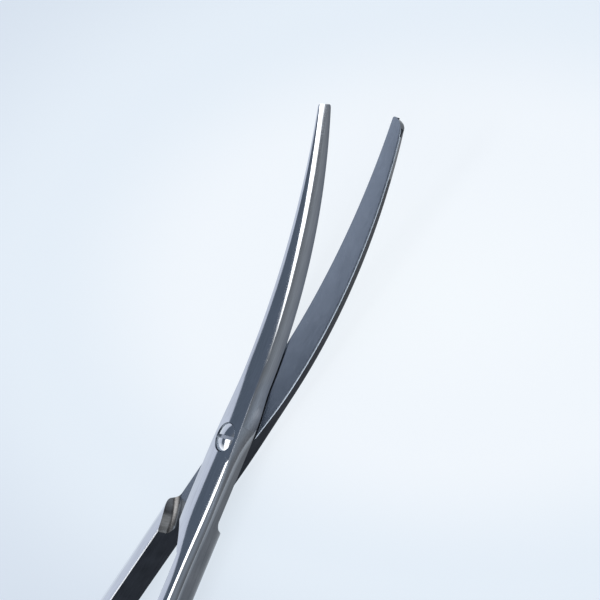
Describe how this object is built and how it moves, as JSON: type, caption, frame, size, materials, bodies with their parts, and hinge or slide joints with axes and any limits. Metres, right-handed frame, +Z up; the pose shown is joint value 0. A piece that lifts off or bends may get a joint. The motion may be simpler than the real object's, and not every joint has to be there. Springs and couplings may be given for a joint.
{
  "type": "dissecting scissors",
  "caption": "Curved dissecting scissors with blunt tips, lapped screw joint and oval finger rings, lying open.",
  "frame": {"origin": "on the pivot axis, in the plane of the joint's underside, which is the plane that the scissors lie on", "axes": "+Y from the pivot to the tips along the middle of the opening, +Z up along the pivot axis towards the screw head, +X towards the lower half's blade"},
  "size_m": [0.0852, 0.1405, 0.0101],
  "materials": {
    "polished_steel": "polished outside, satin-ground inner faces",
    "screw_steel": "polished"
  },
  "bodies": {
    "lower": {"lower_half": "polished_steel", "pivot_screw": "screw_steel"},
    "upper": {"upper_half": "polished_steel"}
  },
  "joints": [
    {"name": "pivot", "type": "hinge", "parent": "lower", "child": "upper", "pos_m": [0, 0, 0], "axis": [0, 0, 1], "range_deg": [-20, 45]}
  ]
}
